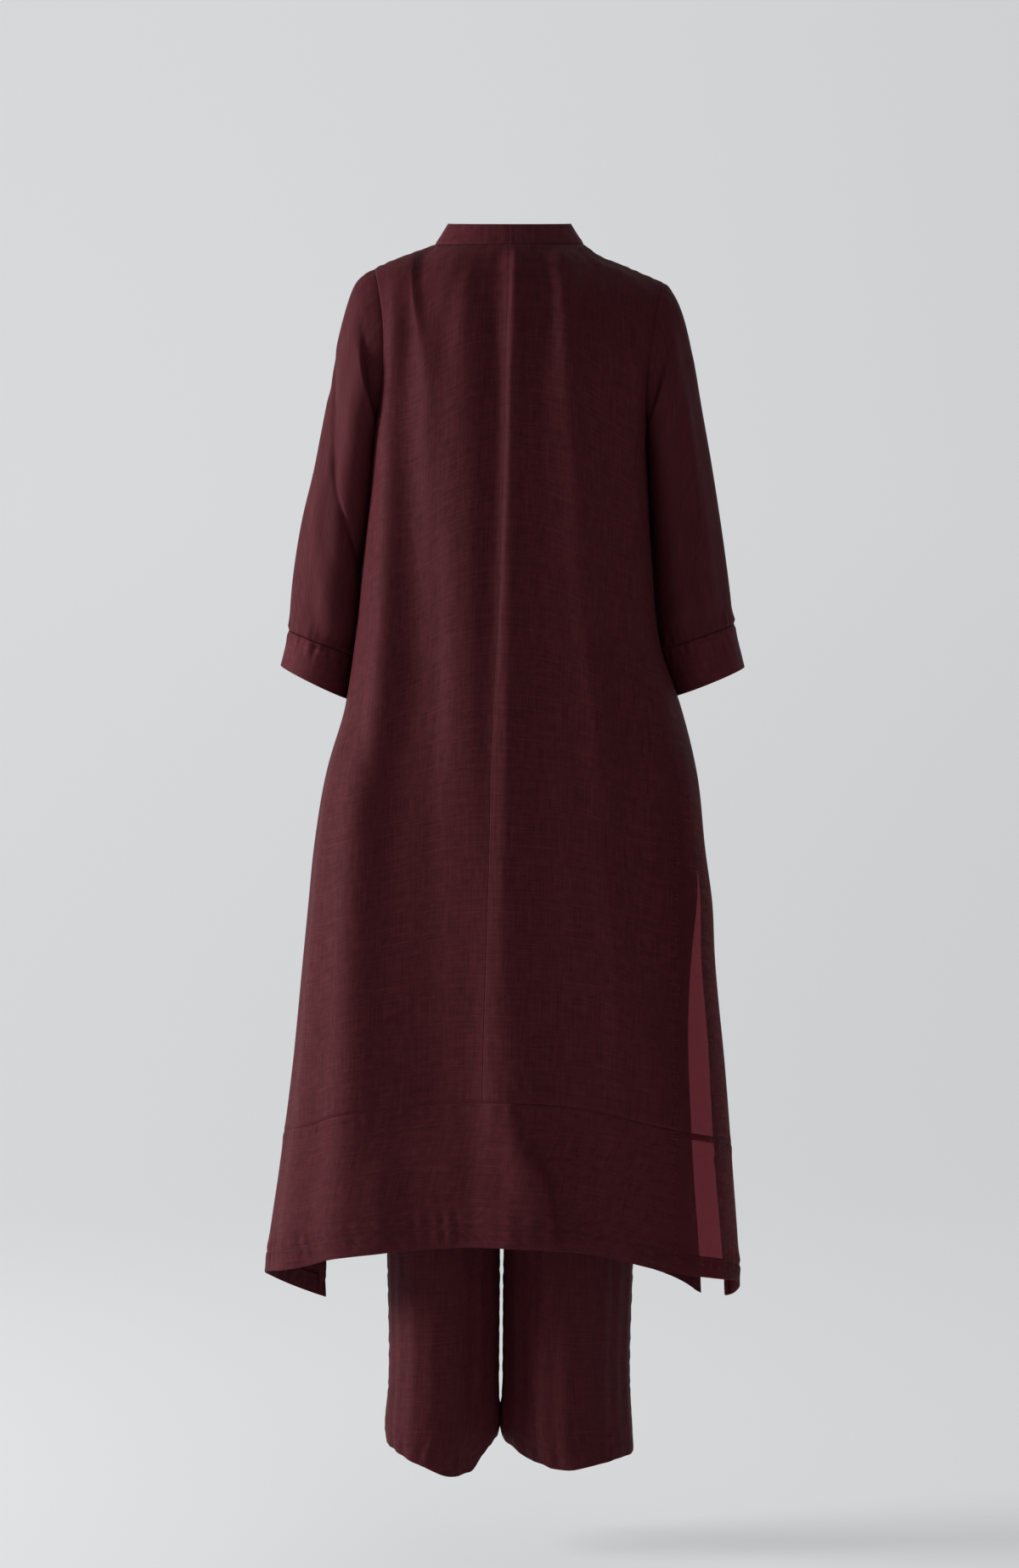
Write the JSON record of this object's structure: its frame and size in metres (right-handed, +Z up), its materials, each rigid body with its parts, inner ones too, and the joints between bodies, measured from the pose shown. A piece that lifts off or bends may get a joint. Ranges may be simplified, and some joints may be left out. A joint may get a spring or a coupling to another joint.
{
  "type": "kaftan set, long tunic with straight trousers, worn form",
  "caption": "Long maroon tunic with a band collar, three-quarter sleeves and side slits, over straight trousers, in hollow worn form.",
  "frame": {"origin": "centre of the neck opening, level with the points where the shoulder seams meet the collar", "axes": "+Z up, +Y towards the wearer's front, +X towards the wearer's right"},
  "size_m": [0.5852, 0.3218, 1.5073],
  "materials": {
    "tunic_cloth": "thin maroon slub crepe, slightly see-through in a single layer, with a soft sheen",
    "band_cloth": "the same maroon slub crepe, two layers thick, so it lets no light through",
    "trouser_cloth": "maroon slub crepe, a little heavier than the tunic's"
  },
  "bodies": {
    "root": {"tunic_back_left": "tunic_cloth", "tunic_back_right": "tunic_cloth", "tunic_front_left": "tunic_cloth", "tunic_front_right": "tunic_cloth", "hem_band_back": "tunic_cloth", "hem_band_front": "tunic_cloth", "sleeve_left": "tunic_cloth", "sleeve_right": "tunic_cloth", "cuff_left": "band_cloth", "cuff_right": "band_cloth", "collar_left": "band_cloth", "collar_right": "band_cloth", "trouser_back_left": "trouser_cloth", "trouser_back_right": "trouser_cloth", "trouser_front_left": "trouser_cloth", "trouser_front_right": "trouser_cloth", "trouser_waistband": "trouser_cloth"}
  },
  "joints": []
}
